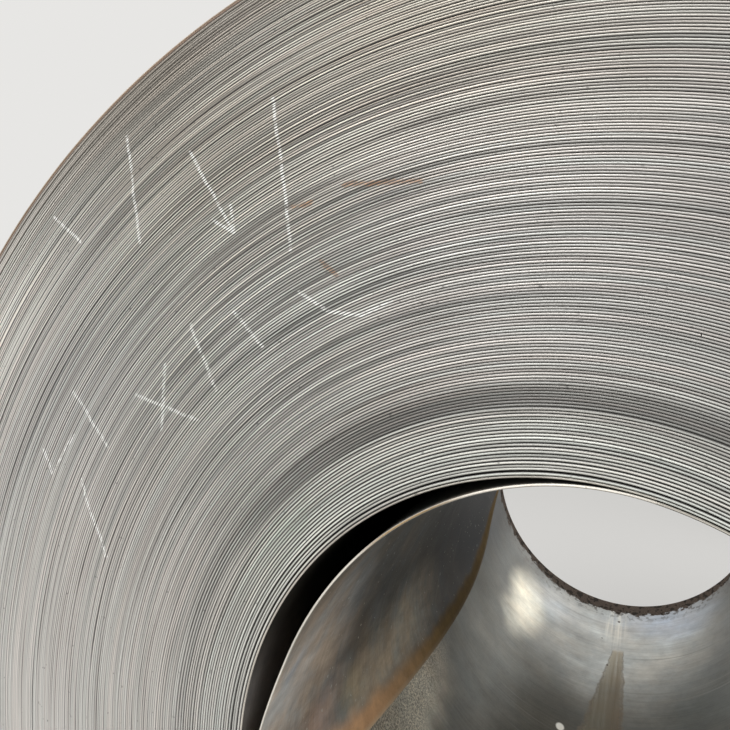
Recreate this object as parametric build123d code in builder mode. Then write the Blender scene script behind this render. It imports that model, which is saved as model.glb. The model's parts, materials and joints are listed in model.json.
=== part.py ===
"""A coil of hot-rolled steel strip, lying on its round side with its eye level.

The coil is one length of strip, so it is one solid. Its laps show as rings on both ends, because each lap lies
a little to one side of the next. The free inner end of the strip has sprung loose and hangs into the eye.

X runs across the end, Y runs along the eye away from the near end, and Z runs up.
The origin is the middle of the coil's box, at its lowest point.
Angles go round the eye from +X towards +Z. Lengths are millimetres and angles are degrees.
"""
import math
import os

from build123d import *

# The strip
strip_width = 1500.0
strip_thickness = 3.0

# The winding
eye_diameter = 762.0
lap_count = 197
lap_gap = 0.244

# How far the laps wander along the eye as they are wound, as waves of (share, laps from crest to crest, phase)
wander = 4.0
wander_step = 1.0
wander_waves = [(0.50, 55.6, 0.6), (0.35, 16.9, 2.1), (0.15, 3.26, 0.4)]

# The band of laps that is set back together, not far from the eye
set_back = 6.0
set_back_first_lap = 23
set_back_laps = 7

# The loose inner lap: where it leaves the wall, where it has sprung in furthest, where it is back at the wall,
# and where it would end uncut
loose_root_angle = 76.0
loose_widest_angle = 156.0
loose_rest_angle = 198.0
loose_end_angle = 208.0
loose_spring = 34.0
loose_spring_power = 1.75
loose_end_clearance = 1.0
loose_stations = 16

# The tongue that the loose lap ends in, as (share of the strip's width, angle of its end)
tongue_shape = [(0.0, 196.0), (0.25, 203.3), (0.5, 206.8), (0.75, 202.3), (1.0, 177.0)]

# The tail, which is the strip's outer end: the outside is a step lower beyond it, and rises again over the run
tail_angle = 245.0
tail_run = 50.0

lap_pitch = strip_thickness + lap_gap
eye_radius = eye_diameter / 2
wall_radius = eye_radius + lap_pitch
outside_radius = eye_radius + lap_count * lap_pitch


def lap_shift(lap):
    """How far one lap lies towards the far end."""
    if set_back_first_lap <= lap < set_back_first_lap + set_back_laps:
        return set_back
    wave = sum(share * math.sin(2 * math.pi * lap / laps + phase) for share, laps, phase in wander_waves)
    wave = min(max(0.5 + 0.75 * wave, 0), 1)
    return wander_step * round(wander * wave / wander_step)


shifts = [lap_shift(lap) for lap in range(lap_count)]
coil_length = strip_width + max(shifts) - min(shifts)
near_end = -coil_length / 2
end_plane = Plane(origin=(0, near_end, outside_radius), x_dir=(1, 0, 0), z_dir=(0, -1, 0))
side_plane = Plane(origin=(0, near_end, outside_radius), x_dir=(0, 1, 0), z_dir=(1, 0, 0))
coil_axis = Axis((0, 0, outside_radius), (0, 1, 0))


def on_end(radius, angle):
    """A point of the end's plane, by its distance from the axis and its angle round the eye."""
    return (radius * math.cos(math.radians(angle)), radius * math.sin(math.radians(angle)))


def end_corners(place):
    """The corners of one end's profile from the eye out, as (place along the eye, radius)."""
    corners = []
    for lap, shift in enumerate(shifts):
        inner = eye_radius + lap * lap_pitch
        here = place + shift - min(shifts)
        if corners and corners[-1][0] == here:
            corners.pop()
        else:
            corners.append((here, inner))
        corners.append((here, inner + lap_pitch))
    # The core inside the first lap, which the eye is cut out of
    corners[0] = (corners[0][0], eye_radius - 2 * loose_spring)
    return corners


def spring_at(angle):
    """How far the loose lap has sprung in from the place that it was wound in."""
    if angle <= loose_widest_angle:
        share = (angle - loose_root_angle) / (loose_widest_angle - loose_root_angle)
        least = 0
    else:
        share = (loose_rest_angle - angle) / (loose_rest_angle - loose_widest_angle)
        least = loose_end_clearance - lap_gap
    return least + (loose_spring - least) * math.sin(math.pi / 2 * max(share, 0)) ** loose_spring_power


def loose_face(outwards):
    """Points along one face of the loose lap from its root to its end, this far outwards of its inner face."""
    step = (loose_end_angle - loose_root_angle) / loose_stations
    angles = [loose_root_angle + step * station for station in range(loose_stations + 1)]
    return [on_end(eye_radius + outwards - spring_at(angle), angle) for angle in angles]


def tongue_point(share, angle):
    """A point of the tongue's end seen from the side, by its share of the strip's width and its angle."""
    return (share * coil_length, eye_radius * math.sin(math.radians(angle)))


# What the rounded end of the tongue leaves out of the loose lap, clear of the wall of the eye
with BuildPart() as beyond_tongue:
    with BuildSketch(side_plane):
        with BuildLine():
            tongue_end = Spline(*[tongue_point(share, angle) for share, angle in tongue_shape])
            Polyline(tongue_end @ 1, (coil_length, -eye_radius), (0, -eye_radius), tongue_end @ 0)
        make_face()
    extrude(amount=-wall_radius)
    with BuildSketch(end_plane):
        with BuildLine():
            clear_radius = wall_radius - loose_end_clearance / 2
            past_end = loose_end_angle + 1
            clear_arc = ThreePointArc(
                on_end(clear_radius, 90),
                on_end(clear_radius, (90 + past_end) / 2),
                on_end(clear_radius, past_end),
            )
            Polyline(clear_arc @ 1, (0, 0), clear_arc @ 0)
        make_face()
    extrude(amount=-coil_length, mode=Mode.INTERSECT)

with BuildPart() as steel_coil:
    # All the laps
    with BuildSketch(side_plane):
        with BuildLine():
            Polyline(*end_corners(0), *reversed(end_corners(strip_width)), close=True)
        make_face()
    revolve(axis=coil_axis)

    # The eye: its wall comes in by one lap from the loose end round to the root, and the loose lap stands off it
    with BuildSketch(end_plane):
        with BuildLine():
            behind_loose_lap = ThreePointArc(
                on_end(wall_radius, loose_root_angle),
                on_end(wall_radius, (loose_root_angle + loose_end_angle) / 2),
                on_end(wall_radius, loose_end_angle),
            )
            ThreePointArc(
                on_end(wall_radius, loose_end_angle),
                on_end(eye_radius + lap_pitch / 2, (loose_end_angle + loose_root_angle + 360) / 2),
                on_end(eye_radius, loose_root_angle),
            )
            inner_face = Spline(*loose_face(0))
            outer_face = Spline(*loose_face(strip_thickness))
            Line(inner_face @ 1, outer_face @ 1)
            Line(outer_face @ 0, behind_loose_lap @ 0)
        make_face()
    extrude(amount=-coil_length, mode=Mode.SUBTRACT)
    add(beyond_tongue.part, mode=Mode.SUBTRACT)

    # The tail
    with BuildSketch(end_plane):
        with BuildLine():
            rise = ThreePointArc(
                on_end(outside_radius - strip_thickness, tail_angle),
                on_end(outside_radius - strip_thickness / 2, tail_angle - tail_run / 2),
                on_end(outside_radius, tail_angle - tail_run),
            )
            clear = outside_radius + strip_thickness
            Polyline(
                rise @ 1,
                on_end(clear, tail_angle - tail_run),
                on_end(clear / math.cos(math.radians(tail_run / 2)), tail_angle - tail_run / 2),
                on_end(clear, tail_angle),
                rise @ 0,
            )
        make_face()
    extrude(amount=-coil_length, mode=Mode.SUBTRACT)

os.makedirs("parts", exist_ok=True)
steel_coil.part.label = "steel_coil"
export_step(steel_coil.part, "parts/steel_coil.step")
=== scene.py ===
"""The looks of a steel coil that lies on its round side. Laid out as an add-on, and run as a script.

The strip is wound as the real one is: one spiral whose edges make the two ends of the coil, and whose free inner
end has sprung away from the wall of the eye. Places on it are given by the turn, which is 0 where the strip leaves
the wall and grows outwards, or by the angle round the eye, from +X towards +Z. Lengths are metres.
"""
import json
import math

import bmesh
import bpy
import numpy as np
from bpy.props import FloatProperty, FloatVectorProperty, IntProperty, PointerProperty
from mathutils import Euler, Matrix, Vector


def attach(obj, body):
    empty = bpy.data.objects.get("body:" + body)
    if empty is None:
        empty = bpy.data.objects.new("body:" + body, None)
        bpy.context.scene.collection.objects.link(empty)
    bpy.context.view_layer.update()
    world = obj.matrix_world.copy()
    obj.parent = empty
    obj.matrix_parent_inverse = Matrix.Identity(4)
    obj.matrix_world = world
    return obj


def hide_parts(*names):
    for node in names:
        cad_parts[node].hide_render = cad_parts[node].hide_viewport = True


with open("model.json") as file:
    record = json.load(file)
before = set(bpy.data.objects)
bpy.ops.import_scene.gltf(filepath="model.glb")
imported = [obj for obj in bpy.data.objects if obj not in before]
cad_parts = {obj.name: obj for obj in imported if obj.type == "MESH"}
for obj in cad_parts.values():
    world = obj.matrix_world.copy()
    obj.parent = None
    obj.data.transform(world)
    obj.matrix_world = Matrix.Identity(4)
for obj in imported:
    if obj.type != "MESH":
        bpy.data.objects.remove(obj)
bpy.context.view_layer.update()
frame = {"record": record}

bl_info = {
    "name": "Steel coil",
    "version": (1, 0, 0),
    "blender": (4, 5, 0),
    "location": "3D View > Sidebar > Steel Coil",
    "description": "Winds a coil of hot-rolled steel strip and dresses its edges, its eye and its outside",
    "category": "Add Mesh",
}

NODE = "steel_coil"
MOUNTS = {mount["name"]: mount for mount in frame["record"]["mounts"]}
EYE_RADIUS = MOUNTS["eye"]["dims"]["r_mm"] / 1000
STRIP_WIDTH = MOUNTS["eye"]["dims"]["length_mm"] / 1000
OUTSIDE_RADIUS = MOUNTS["outside"]["dims"]["r_mm"] / 1000
AXIS_HEIGHT = MOUNTS["outside"]["pos_m"][2]
NEAR_END = MOUNTS["near_end"]["pos_m"][1]
FAR_END = MOUNTS["far_end"]["pos_m"][1]

# Metres along the wall of the eye in one degree
WALL_DEGREE = EYE_RADIUS * math.radians(1)

# How far the strip's edges wander along the eye, as waves of (share, turns from crest to crest, phase)
WANDER_WAVES = [(0.50, 55.6, 0.6), (0.35, 16.9, 2.1), (0.15, 3.26, 0.4)]
WANDER_MIDDLE = 0.5
WANDER_SWING = 0.75

# Turns in which the band of laps that is set back drops, to either side of its first turn
SET_BACK_DROP = 0.12

# Short lengths of a lap that lie out of line and open a gap beside them, as (turn, half its length, how far out)
STRAY_LAPS = [(1.84, 0.24, -0.0004), (2.85, 0.26, 0.0004), (5.86, 0.22, 0.0003), (10.88, 0.2, 0.00025),
              (14.86, 0.24, 0.0002)]

# What share of a stray lap's half length lies fully out of line
STRAY_FULL = 0.3

# Noise that changes from lap to lap: its seed, how far apart two seeds lie, how far it moves on in a turn, and its
# size round the coil where it opens the gaps and tones the laps
SEED = 3
SEED_STEP = 17.3
TURN_STEP = 3.7
LAP_NOISE_SIZE = 1.6

# The same where it moves the strip's edges: its size, and how far it lies from the noise above
EDGE_NOISE_SIZE = 0.9
EDGE_NOISE_START = 40.0

# Noise for the lines that rolling left: its size round the coil, and how fine it is along it
STREAK_NOISE_SIZE = 2.0
STREAK_FINENESS = 120.0

# The angle past which the fold between two faces is drawn sharp, and how much more that is on rounded edges
SHARP_FOLD = math.radians(30)
ROUNDED_FOLD = math.radians(35)

# The tongue that the loose end is cut to, as (share of the strip's width, angle of its end in degrees)
TONGUE_END = [(0.0, 196.0), (0.25, 203.3), (0.5, 206.8), (0.75, 202.3), (1.0, 177.0)]

# Chalk strokes on the near end, from place to place, as (x, z)
CHALK_STROKES = [
    ((-0.692, 1.704), (-0.642, 1.668)), ((-0.563, 1.806), (-0.538, 1.664)),
    ((-0.458, 1.776), (-0.394, 1.672)), ((-0.394, 1.672), (-0.398, 1.706)), ((-0.394, 1.672), (-0.424, 1.688)),
    ((-0.337, 1.832), (-0.312, 1.648)), ((-0.392, 1.574), (-0.352, 1.532)),
    ((-0.457, 1.557), (-0.419, 1.476)),
    ((-0.544, 1.464), (-0.449, 1.437)), ((-0.496, 1.505), (-0.503, 1.421)),
    ((-0.301, 1.598), (-0.262, 1.575)), ((-0.262, 1.575), (-0.222, 1.571)), ((-0.222, 1.571), (-0.184, 1.587)),
    ((-0.655, 1.462), (-0.592, 1.392)),
    ((-0.708, 1.378), (-0.694, 1.346)), ((-0.694, 1.346), (-0.655, 1.402)),
    ((-0.639, 1.343), (-0.594, 1.245)),
]

# Smears of rust on the near end, in the same way
RUST_SMEARS = [((-0.240, 1.7225), (-0.150, 1.7205)), ((-0.312, 1.699), (-0.286, 1.703)),
               ((-0.272, 1.634), (-0.252, 1.617))]

# Half the width of a chalk stroke and how much of that it fades over, and half that of a smear, which fades over all
CHALK_WIDTH = 0.0028
CHALK_FADE = 0.0014
SMEAR_WIDTH = 0.0075

# Patches of tone, as the middle's degrees and place, half their size in both, how much of that fades, how strong
# they are at most, and their colour. The place is metres along the eye in the first two tables, which are for its
# wall and for the loose end, and the radius in the last, which is for the ends.
# On the wall of the eye the patches are painted highlights, painted reflections and painted shade
EYE_PAINTED_LIGHT = [
    (272, 1.28, 54, 0.42, 1.0, 0.95, (0.72, 0.725, 0.69)),
    (228, 1.20, 13, 0.23, 1.0, 1.00, (0.92, 0.87, 0.72)),
    (244, 1.33, 20, 0.16, 1.0, 0.70, (0.50, 0.53, 0.55)),
    (288, 1.38, 32, 0.16, 1.0, 0.85, (0.53, 0.60, 0.72)),
    (193, 1.28, 17, 0.34, 0.8, 0.90, (0.050, 0.056, 0.063)),
    (212, 0.96, 18, 0.32, 1.0, 0.80, (0.070, 0.067, 0.052)),
    (247, 0.78, 28, 0.35, 1.0, 1.05, (0.042, 0.038, 0.027)),
    (208, 0.38, 22, 0.40, 0.7, 0.90, (0.80, 0.72, 0.58)),
    (308, 0.86, 34, 0.40, 1.0, 0.85, (0.070, 0.074, 0.064)),
    (168, 0.06, 26, 0.14, 1.0, 0.75, (0.50, 0.46, 0.44)),
]
# On the loose end the pale patches are painted light and sheen, the near black one deep in the eye painted shade, and
# the rest its own tones
LOOSE_TONES_AND_LIGHT = [
    (168, 0.06, 40, 0.28, 1.0, 0.95, (0.58, 0.52, 0.465)),
    (164, 0.062, 8, 0.020, 1.0, 0.60, (0.48, 0.50, 0.54)),
    (188, 0.19, 12, 0.11, 1.0, 0.60, (0.46, 0.31, 0.25)),
    (190, 0.30, 7, 0.06, 1.0, 0.60, (0.40, 0.38, 0.27)),
    (150, 1.08, 90, 0.66, 0.85, 1.60, (0.006, 0.008, 0.010)),
    (193, 0.48, 20, 0.38, 1.0, 1.00, (0.54, 0.48, 0.39)),
]
# On the ends: the darker patches at the top are a painted shadow of a neighbouring coil, the pale ones to the left
# painted light
END_TONES_AND_LIGHT = [
    (106, 0.90, 40, 0.30, 1.0, 0.80, (0.345, 0.305, 0.24)),
    (113, 1.015, 34, 0.13, 1.0, 0.85, (0.13, 0.112, 0.09)),
    (176, 0.80, 50, 0.50, 0.8, 0.58, (0.57, 0.555, 0.535)),
    (147, 0.955, 20, 0.14, 1.0, 0.75, (0.80, 0.765, 0.705)),
]

# Single spots that something keeps to, as the middle's degrees and place, half their size in both, and how much of
# that fades. The place is the radius for the dust, which also paints light, and for the painted shadow of a
# neighbouring coil, and metres along the eye for the others. The pale streak is a painted highlight.
SPOTS = {
    "dust_and_light": ((200, 0.80), (66, 2.0), 0.7), "dirt": ((116, 0.72), (34, 0.32), 0.7),
    "highlight streak": ((267.5, 1.36), (6.5, 0.20), 0.7), "grainy patch": ((205, 0.40), (19, 0.46), 0.6),
    "brown lip": ((117, 0), (13, 0.3), 0.7),
}

# Dark lines that rolling left on the eye's wall, in metres along it, and the degrees over which they come in
WALL_LINES = [1.174, 1.012, 0.977]
WALL_LINES_FROM = (271.0, 279.0)

# Small spots on the wall of the eye, as degrees, metres along it, half their width and their colour, and how much
# longer they are than wide
WALL_SPOTS = [
    (268.9, 1.378, 0.0045, (0.06, 0.04, 0.03)), (266.3, 1.123, 0.003, (0.1, 0.07, 0.05)),
    (263.0, 1.258, 0.0025, (0.1, 0.09, 0.08)), (254.3, 0.803, 0.011, (0.7, 0.69, 0.64)),
]
SPOT_STRETCH = 1.4

# The stain on the wall of the eye: the metres along it and the degrees of its point, half its width there, and the
# degrees by which it leans over and widens in each metre on its way down
STAIN_TOP = 1.20
STAIN_DEGREES = 269.7
STAIN_HALF = 2.3
STAIN_LEAN = -7.0
STAIN_SPREAD = 12.5

# Rust along the cut of the loose end: metres along the eye, and how wide it is at each
CUT_RUST_PLACES = (0.10, 0.60)
CUT_RUST_WIDTHS = (0.056, 0.036)

# Brown flakes along the far edge: how far from it they end, the degrees of their middle and those to either side
# over which they grow narrower, and how much wider they are before and after that
FLAKES_END = (0.046, 0.050)
FLAKES_MIDDLE = 268.0
FLAKES_SIDES = (15.0, 50.0)
FLAKES_WIDER = (0.016, -0.012)

# Painted shade in the band of laps that is set back: its middle in degrees, and those to either side over which it
# fades
BAND_SHADE_MIDDLE = 88.0
BAND_SHADE_SIDES = (28.0, 64.0)

# Radii on the ends between which something comes in or goes out
RADII = {
    "inner edges": (0.440, 0.475), "dust_and_light": (0.44, 0.54), "rim": (0.96, 1.005), "old rust": (1.010, 1.014),
    "band from": (0.4565, 0.4585), "band to": (0.470, 0.490),
}

# Tones of what lies on the steel, with the dust that also paints light and a painted highlight streak, besides the
# colours that a user can change
TONES = {name: (*tone, 1) for name, tone in {
    "warm edge": (1.03, 0.995, 0.98), "cool edge": (0.98, 1.005, 1.0), "brown cloud": (0.36, 0.33, 0.275),
    "dust_and_light": (0.36, 0.35, 0.335), "rim grime": (0.15, 0.135, 0.115), "rolling line": (0.10, 0.10, 0.09),
    "wall line": (0.16, 0.16, 0.14), "stain top": (0.76, 0.66, 0.49), "stain below": (0.37, 0.325, 0.235),
    "stain side": (0.30, 0.19, 0.11), "stain outline": (0.13, 0.10, 0.065), "highlight streak": (0.88, 0.87, 0.80),
    "scratches": (0.42, 0.40, 0.37), "specks": (0.5, 0.5, 0.46), "warm tint": (1.12, 1.0, 0.86),
    "cool tint": (0.90, 1.0, 1.07), "near cut": (0.54, 0.31, 0.155), "far cut": (0.43, 0.285, 0.115),
    "nearest cut": (0.42, 0.22, 0.15), "cut lip": (0.52, 0.40, 0.27), "chips": (0.07, 0.06, 0.05),
    "lip": (0.66, 0.62, 0.56), "brown lip": (0.42, 0.30, 0.165), "lip grime": (0.34, 0.32, 0.28),
    "outside cloud": (0.135, 0.125, 0.11), "outside pale": (0.27, 0.28, 0.29), "outside line": (0.07, 0.07, 0.07),
    "scuffs": (0.40, 0.40, 0.385), "outside edge": (0.26, 0.21, 0.16),
}.items()}

# The stage: half the floor's side, its colour and roughness, and how brightly it and the world are seen
FLOOR_REACH = 30.0
FLOOR_COLOUR = (0.58, 0.575, 0.56, 1)
FLOOR_ROUGHNESS = 0.9
FLOOR_GLOW = 0.24
DAYLIGHT = (1.0, 0.99, 0.97, 1)
WORLD_LIGHT = 0.42
WORLD_SEEN = 0.8

# Soft lamps: name, place, what they are turned to, size and power in watts
SOFT_LAMPS = [
    ("Key", (-1.0, -2.3, 4.2), (-0.2, -0.6, 1.3), (3.0, 2.0), 165.0),
    ("Fill", (33.3, -22.3, 8.6), (-0.3, -0.6, 1.1), (21.6, 17.4), 9700.0),
    ("Back", (1.0, 3.2, 1.45), (-0.2, 0.5, 0.9), (1.1, 1.1), 4.6),
]


def picked(name, description, colour):
    """A colour that a user can change."""
    return FloatVectorProperty(name=name, description=description, default=(*colour, 1), subtype="COLOR", size=4,
                               min=0, max=1)


class CoilSizes(bpy.types.PropertyGroup):
    """Sizes of the strip and of its winding."""

    strip_thickness: FloatProperty(
        name="Strip thickness", description="How thick the strip is", default=0.003, unit="LENGTH")
    edge_round: FloatProperty(
        name="Edge round", description="How far the strip's rolled edge is rounded off", default=0.001,
        unit="LENGTH")
    turns: FloatProperty(
        name="Turns", description="How often the strip goes round, from the root of its loose end to its tail",
        default=196.53)
    steps_per_turn: IntProperty(
        name="Steps per turn", description="Straight steps that one turn is made of", default=240)
    turns_per_piece: IntProperty(
        name="Turns per piece", description="Turns that are kept in one mesh", default=49)
    looseness: FloatProperty(
        name="Looseness", description="Extra air between the inner laps, in all", default=0.010, unit="LENGTH")
    loose_turns: FloatProperty(
        name="Loose turns", description="Turns over which the extra air fades out", default=14.0)
    wander: FloatProperty(
        name="Wander", description="How far the laps lie from side to side", default=0.004, unit="LENGTH")
    edge_play: FloatProperty(
        name="Edge play", description="How far one lap stands out from the next by chance", default=0.0034,
        unit="LENGTH")
    gap_play: FloatProperty(
        name="Gap play", description="Share of the air between laps that opens and closes", default=1.5)
    set_back: FloatProperty(
        name="Set back", description="How far the band of laps near the eye lies back", default=0.006,
        unit="LENGTH")
    set_back_turn: FloatProperty(
        name="Set back from", description="Turn at which that band begins", default=21.38)
    set_back_full: FloatProperty(
        name="Set back turns", description="Turns for which that band lies fully back", default=2.5)
    set_back_fade: FloatProperty(
        name="Set back fade", description="Turns in which that band comes level again", default=7.5)
    root_angle: FloatProperty(
        name="Root angle", description="Where the loose end leaves the wall of the eye",
        default=math.radians(76), subtype="ANGLE")
    widest_angle: FloatProperty(
        name="Widest angle", description="Where the loose end stands furthest from the wall",
        default=math.radians(156), subtype="ANGLE")
    rest_angle: FloatProperty(
        name="Rest angle", description="Where the loose end is back at the wall",
        default=math.radians(198), subtype="ANGLE")
    spring: FloatProperty(
        name="Spring", description="How far the loose end has sprung into the eye", default=0.034, unit="LENGTH")
    spring_power: FloatProperty(
        name="Spring power", description="How slowly the loose end starts to leave the wall", default=1.75)
    end_clearance: FloatProperty(
        name="End clearance", description="Air behind the loose end where it is back at the wall", default=0.00076,
        unit="LENGTH")


class CoilColours(bpy.types.PropertyGroup):
    """Colours of the steel and of what lies on it."""

    edge: picked("Rolled edge", "The strip's edges, which make the coil's two ends", (0.44, 0.43, 0.41))
    inner_edge: picked("Inner edges", "The edges of the laps next to the eye", (0.52, 0.53, 0.50))
    # Grime and painted shade in the gaps between the laps and in the band that is set back
    grime: picked("Grime", "What darkens the gaps between the laps", (0.060, 0.057, 0.053))
    eye_scale: picked("Eye", "Mill scale on the wall of the eye", (0.110, 0.110, 0.098))
    loose_scale: picked("Loose end", "Mill scale on the loose end", (0.105, 0.10, 0.092))
    outside_scale: picked("Outside", "Mill scale on the outside", (0.185, 0.19, 0.19))
    rust: picked("Rust", "Fresh rust", (0.46, 0.23, 0.10))
    old_rust: picked("Old rust", "Old rust", (0.13, 0.065, 0.035))
    flakes: picked("Flakes", "Loose brown scale along the far edge", (0.27, 0.21, 0.17))
    chalk: picked("Chalk", "Chalk strokes on the near end", (0.80, 0.80, 0.77))


class CoilView(bpy.types.PropertyGroup):
    """The camera's place and lens."""

    place: FloatVectorProperty(
        name="Camera place", description="Where the camera stands", default=(0.09135, -1.44627, 1.59037),
        subtype="TRANSLATION")
    heading: FloatProperty(
        name="Heading", description="How far the camera looks left of the eye's direction",
        default=math.radians(21.151), subtype="ANGLE")
    pitch: FloatProperty(
        name="Pitch", description="How far the camera looks up", default=math.radians(0.553), subtype="ANGLE")
    lens: FloatProperty(name="Lens", description="Focal length in millimetres", default=32.84)
    shift: FloatVectorProperty(
        name="Shift", description="How far the picture is shifted right and up, as shares of its side",
        default=(-0.0425, -0.100), size=2)


def sizes():
    """The coil's sizes in this scene."""
    return bpy.context.scene.coil_sizes


def colours():
    """The coil's colours in this scene, by name."""
    picks = bpy.context.scene.coil_colours
    return {name: tuple(getattr(picks, name)) for name in picks.__annotations__}


def lap_pitch():
    """How far the strip moves out in one turn, where it is wound tight."""
    s = sizes()
    loosening = s.looseness * (1 - math.exp(-s.turns / s.loose_turns))
    return (OUTSIDE_RADIUS - s.strip_thickness - EYE_RADIUS - loosening) / s.turns


def wound_radius(turn):
    """Radius of the strip's inner face at a turn."""
    s = sizes()
    return EYE_RADIUS + lap_pitch() * turn + s.looseness * (1 - math.exp(-turn / s.loose_turns))


def wound_shift(turn):
    """How far the strip lies back from the near end at a turn."""
    wave = sum(share * math.sin(math.tau * turn / turns + phase) for share, turns, phase in WANDER_WAVES)
    return sizes().wander * min(max(WANDER_MIDDLE + WANDER_SWING * wave, 0), 1)


def spring_at(angle):
    """How far the loose end has sprung in from the wall."""
    s = sizes()
    if angle <= s.widest_angle:
        share = (angle - s.root_angle) / (s.widest_angle - s.root_angle)
        least = 0
    else:
        share = (s.rest_angle - angle) / (s.rest_angle - s.widest_angle)
        least = s.end_clearance
    return least + (s.spring - least) * math.sin(math.pi / 2 * max(share, 0)) ** s.spring_power


def add_node(tree, kind, inputs=(), **settings):
    """A new node with its settings made and its inputs linked or set, by name or by number."""
    node = tree.nodes.new(kind)
    for key, value in settings.items():
        setattr(node, key, value)
    for key, value in dict(inputs).items():
        if isinstance(value, bpy.types.NodeSocket):
            tree.links.new(value, node.inputs[key])
        else:
            node.inputs[key].default_value = value
    return node


def maths(tree, operation, *values, clamp=False):
    """The result of a Math node."""
    node = add_node(tree, "ShaderNodeMath", enumerate(values), operation=operation, use_clamp=clamp)
    return node.outputs[0]


def times(tree, first, *others):
    """Values multiplied with each other."""
    for other in others:
        first = maths(tree, "MULTIPLY", first, other)
    return first


def away_from(tree, value, middle):
    """How far a value is from a middle one, to either side."""
    return maths(tree, "ABSOLUTE", maths(tree, "SUBTRACT", value, middle))


def vector_maths(tree, operation, *values):
    """The vector that a Vector Math node makes."""
    return add_node(tree, "ShaderNodeVectorMath", enumerate(values), operation=operation).outputs["Vector"]


def length(tree, value):
    """How long a vector is."""
    return add_node(tree, "ShaderNodeVectorMath", {0: value}, operation="LENGTH").outputs["Value"]


def map_range(tree, value, low, high, to_low=0.0, to_high=1.0, smooth=False):
    """A value taken from one range to another, and kept inside it."""
    kind = "SMOOTHSTEP" if smooth else "LINEAR"
    inputs = {0: value, 1: low, 2: high, 3: to_low, 4: to_high}
    return add_node(tree, "ShaderNodeMapRange", inputs, interpolation_type=kind, clamp=True).outputs[0]


def vector(tree, x=0.0, y=0.0, z=0.0):
    """A vector made of three values."""
    return add_node(tree, "ShaderNodeCombineXYZ", {0: x, 1: y, 2: z}).outputs[0]


def ring_place(tree, cosine, sine, size, third):
    """A place for noise that goes round with the angle and moves on with a third value."""
    return vector(tree, times(tree, cosine, size), times(tree, sine, size), third)


def noise(tree, place, scale=1.0, detail=2.0, roughness=0.5):
    """A noise value between 0 and 1, most of them near the middle."""
    inputs = {"Vector": place, "Scale": scale, "Detail": detail, "Roughness": roughness}
    return add_node(tree, "ShaderNodeTexNoise", inputs).outputs[0]


def varied(tree, value, low, high):
    """A noise value taken from where most of them lie to another range."""
    return map_range(tree, value, 0.3, 0.7, low, high)


def either_way(tree, value, reach):
    """A noise value as a swing to either side of nothing."""
    return times(tree, maths(tree, "SUBTRACT", value, 0.5), reach)


def mix(tree, factor, first, second, kind="MIX"):
    """One colour laid over another."""
    inputs = {0: factor, 6: first, 7: second}
    return add_node(tree, "ShaderNodeMix", inputs, data_type="RGBA", blend_type=kind).outputs[2]


def blend(tree, factor, first, second):
    """A value between two others."""
    return add_node(tree, "ShaderNodeMix", {0: factor, 2: first, 3: second}, data_type="FLOAT").outputs[0]


def toned(tree, colour, tone):
    """A colour made lighter or darker by a value."""
    colour = colour if isinstance(colour, bpy.types.NodeSocket) else colour[:3]
    return vector_maths(tree, "MULTIPLY", colour, vector(tree, tone, tone, tone))


def mark(tree, name):
    """A value that the mesh carries at its points."""
    return add_node(tree, "ShaderNodeAttribute", attribute_name=name).outputs["Fac"]


def new_effect(name, takes, gives):
    """An empty shader node group with its sockets, and what comes in through them."""
    tree = bpy.data.node_groups.new(name, "ShaderNodeTree")
    for in_out, names in (("INPUT", takes), ("OUTPUT", gives)):
        for socket, kind in names.items():
            tree.interface.new_socket(socket, in_out=in_out, socket_type="NodeSocket" + kind)
    return tree, tree.nodes.new("NodeGroupInput").outputs


def coil_place_effect(name):
    """Where a point lies on the coil, and places for noise that follows the laps or the rolling."""
    tree, _ = new_effect(name, {}, {"Place": "Vector", "Degrees": "Float", "Along": "Float", "Radius": "Float",
                                    "Lap Place": "Vector", "Streak Place": "Vector"})
    place = tree.nodes.new("ShaderNodeTexCoord").outputs["Object"]
    at = add_node(tree, "ShaderNodeSeparateXYZ", {0: place}).outputs
    up = maths(tree, "SUBTRACT", at[2], AXIS_HEIGHT)
    along = maths(tree, "SUBTRACT", at[1], NEAR_END)
    radius = length(tree, vector(tree, at[0], 0.0, up))
    degrees = maths(tree, "DEGREES", maths(tree, "WRAP", maths(tree, "ARCTAN2", up, at[0]), math.tau, 0.0))
    cosine = maths(tree, "DIVIDE", at[0], radius)
    sine = maths(tree, "DIVIDE", up, radius)
    lap = ring_place(tree, cosine, sine, LAP_NOISE_SIZE, times(tree, mark(tree, "turn"), TURN_STEP))
    streak = vector(tree, times(tree, cosine, STREAK_NOISE_SIZE), times(tree, along, STREAK_FINENESS),
                    times(tree, sine, STREAK_NOISE_SIZE))
    add_node(tree, "NodeGroupOutput", {
        "Place": place, "Degrees": degrees, "Along": along, "Radius": radius, "Lap Place": lap,
        "Streak Place": streak})
    return tree


def soft_spot_effect(name):
    """A round spot that fades towards its border."""
    tree, given = new_effect(name, {"Place": "Vector", "Middle": "Vector", "Half Size": "Vector", "Fade": "Float"},
                             {"Mask": "Float"})
    away = length(tree, vector_maths(tree, "DIVIDE", vector_maths(tree, "SUBTRACT", given["Place"], given["Middle"]),
                                     given["Half Size"]))
    mask = map_range(tree, away, maths(tree, "SUBTRACT", 1.0, given["Fade"]), 1.0, 1.0, 0.0, smooth=True)
    add_node(tree, "NodeGroupOutput", {"Mask": mask})
    return tree


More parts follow.
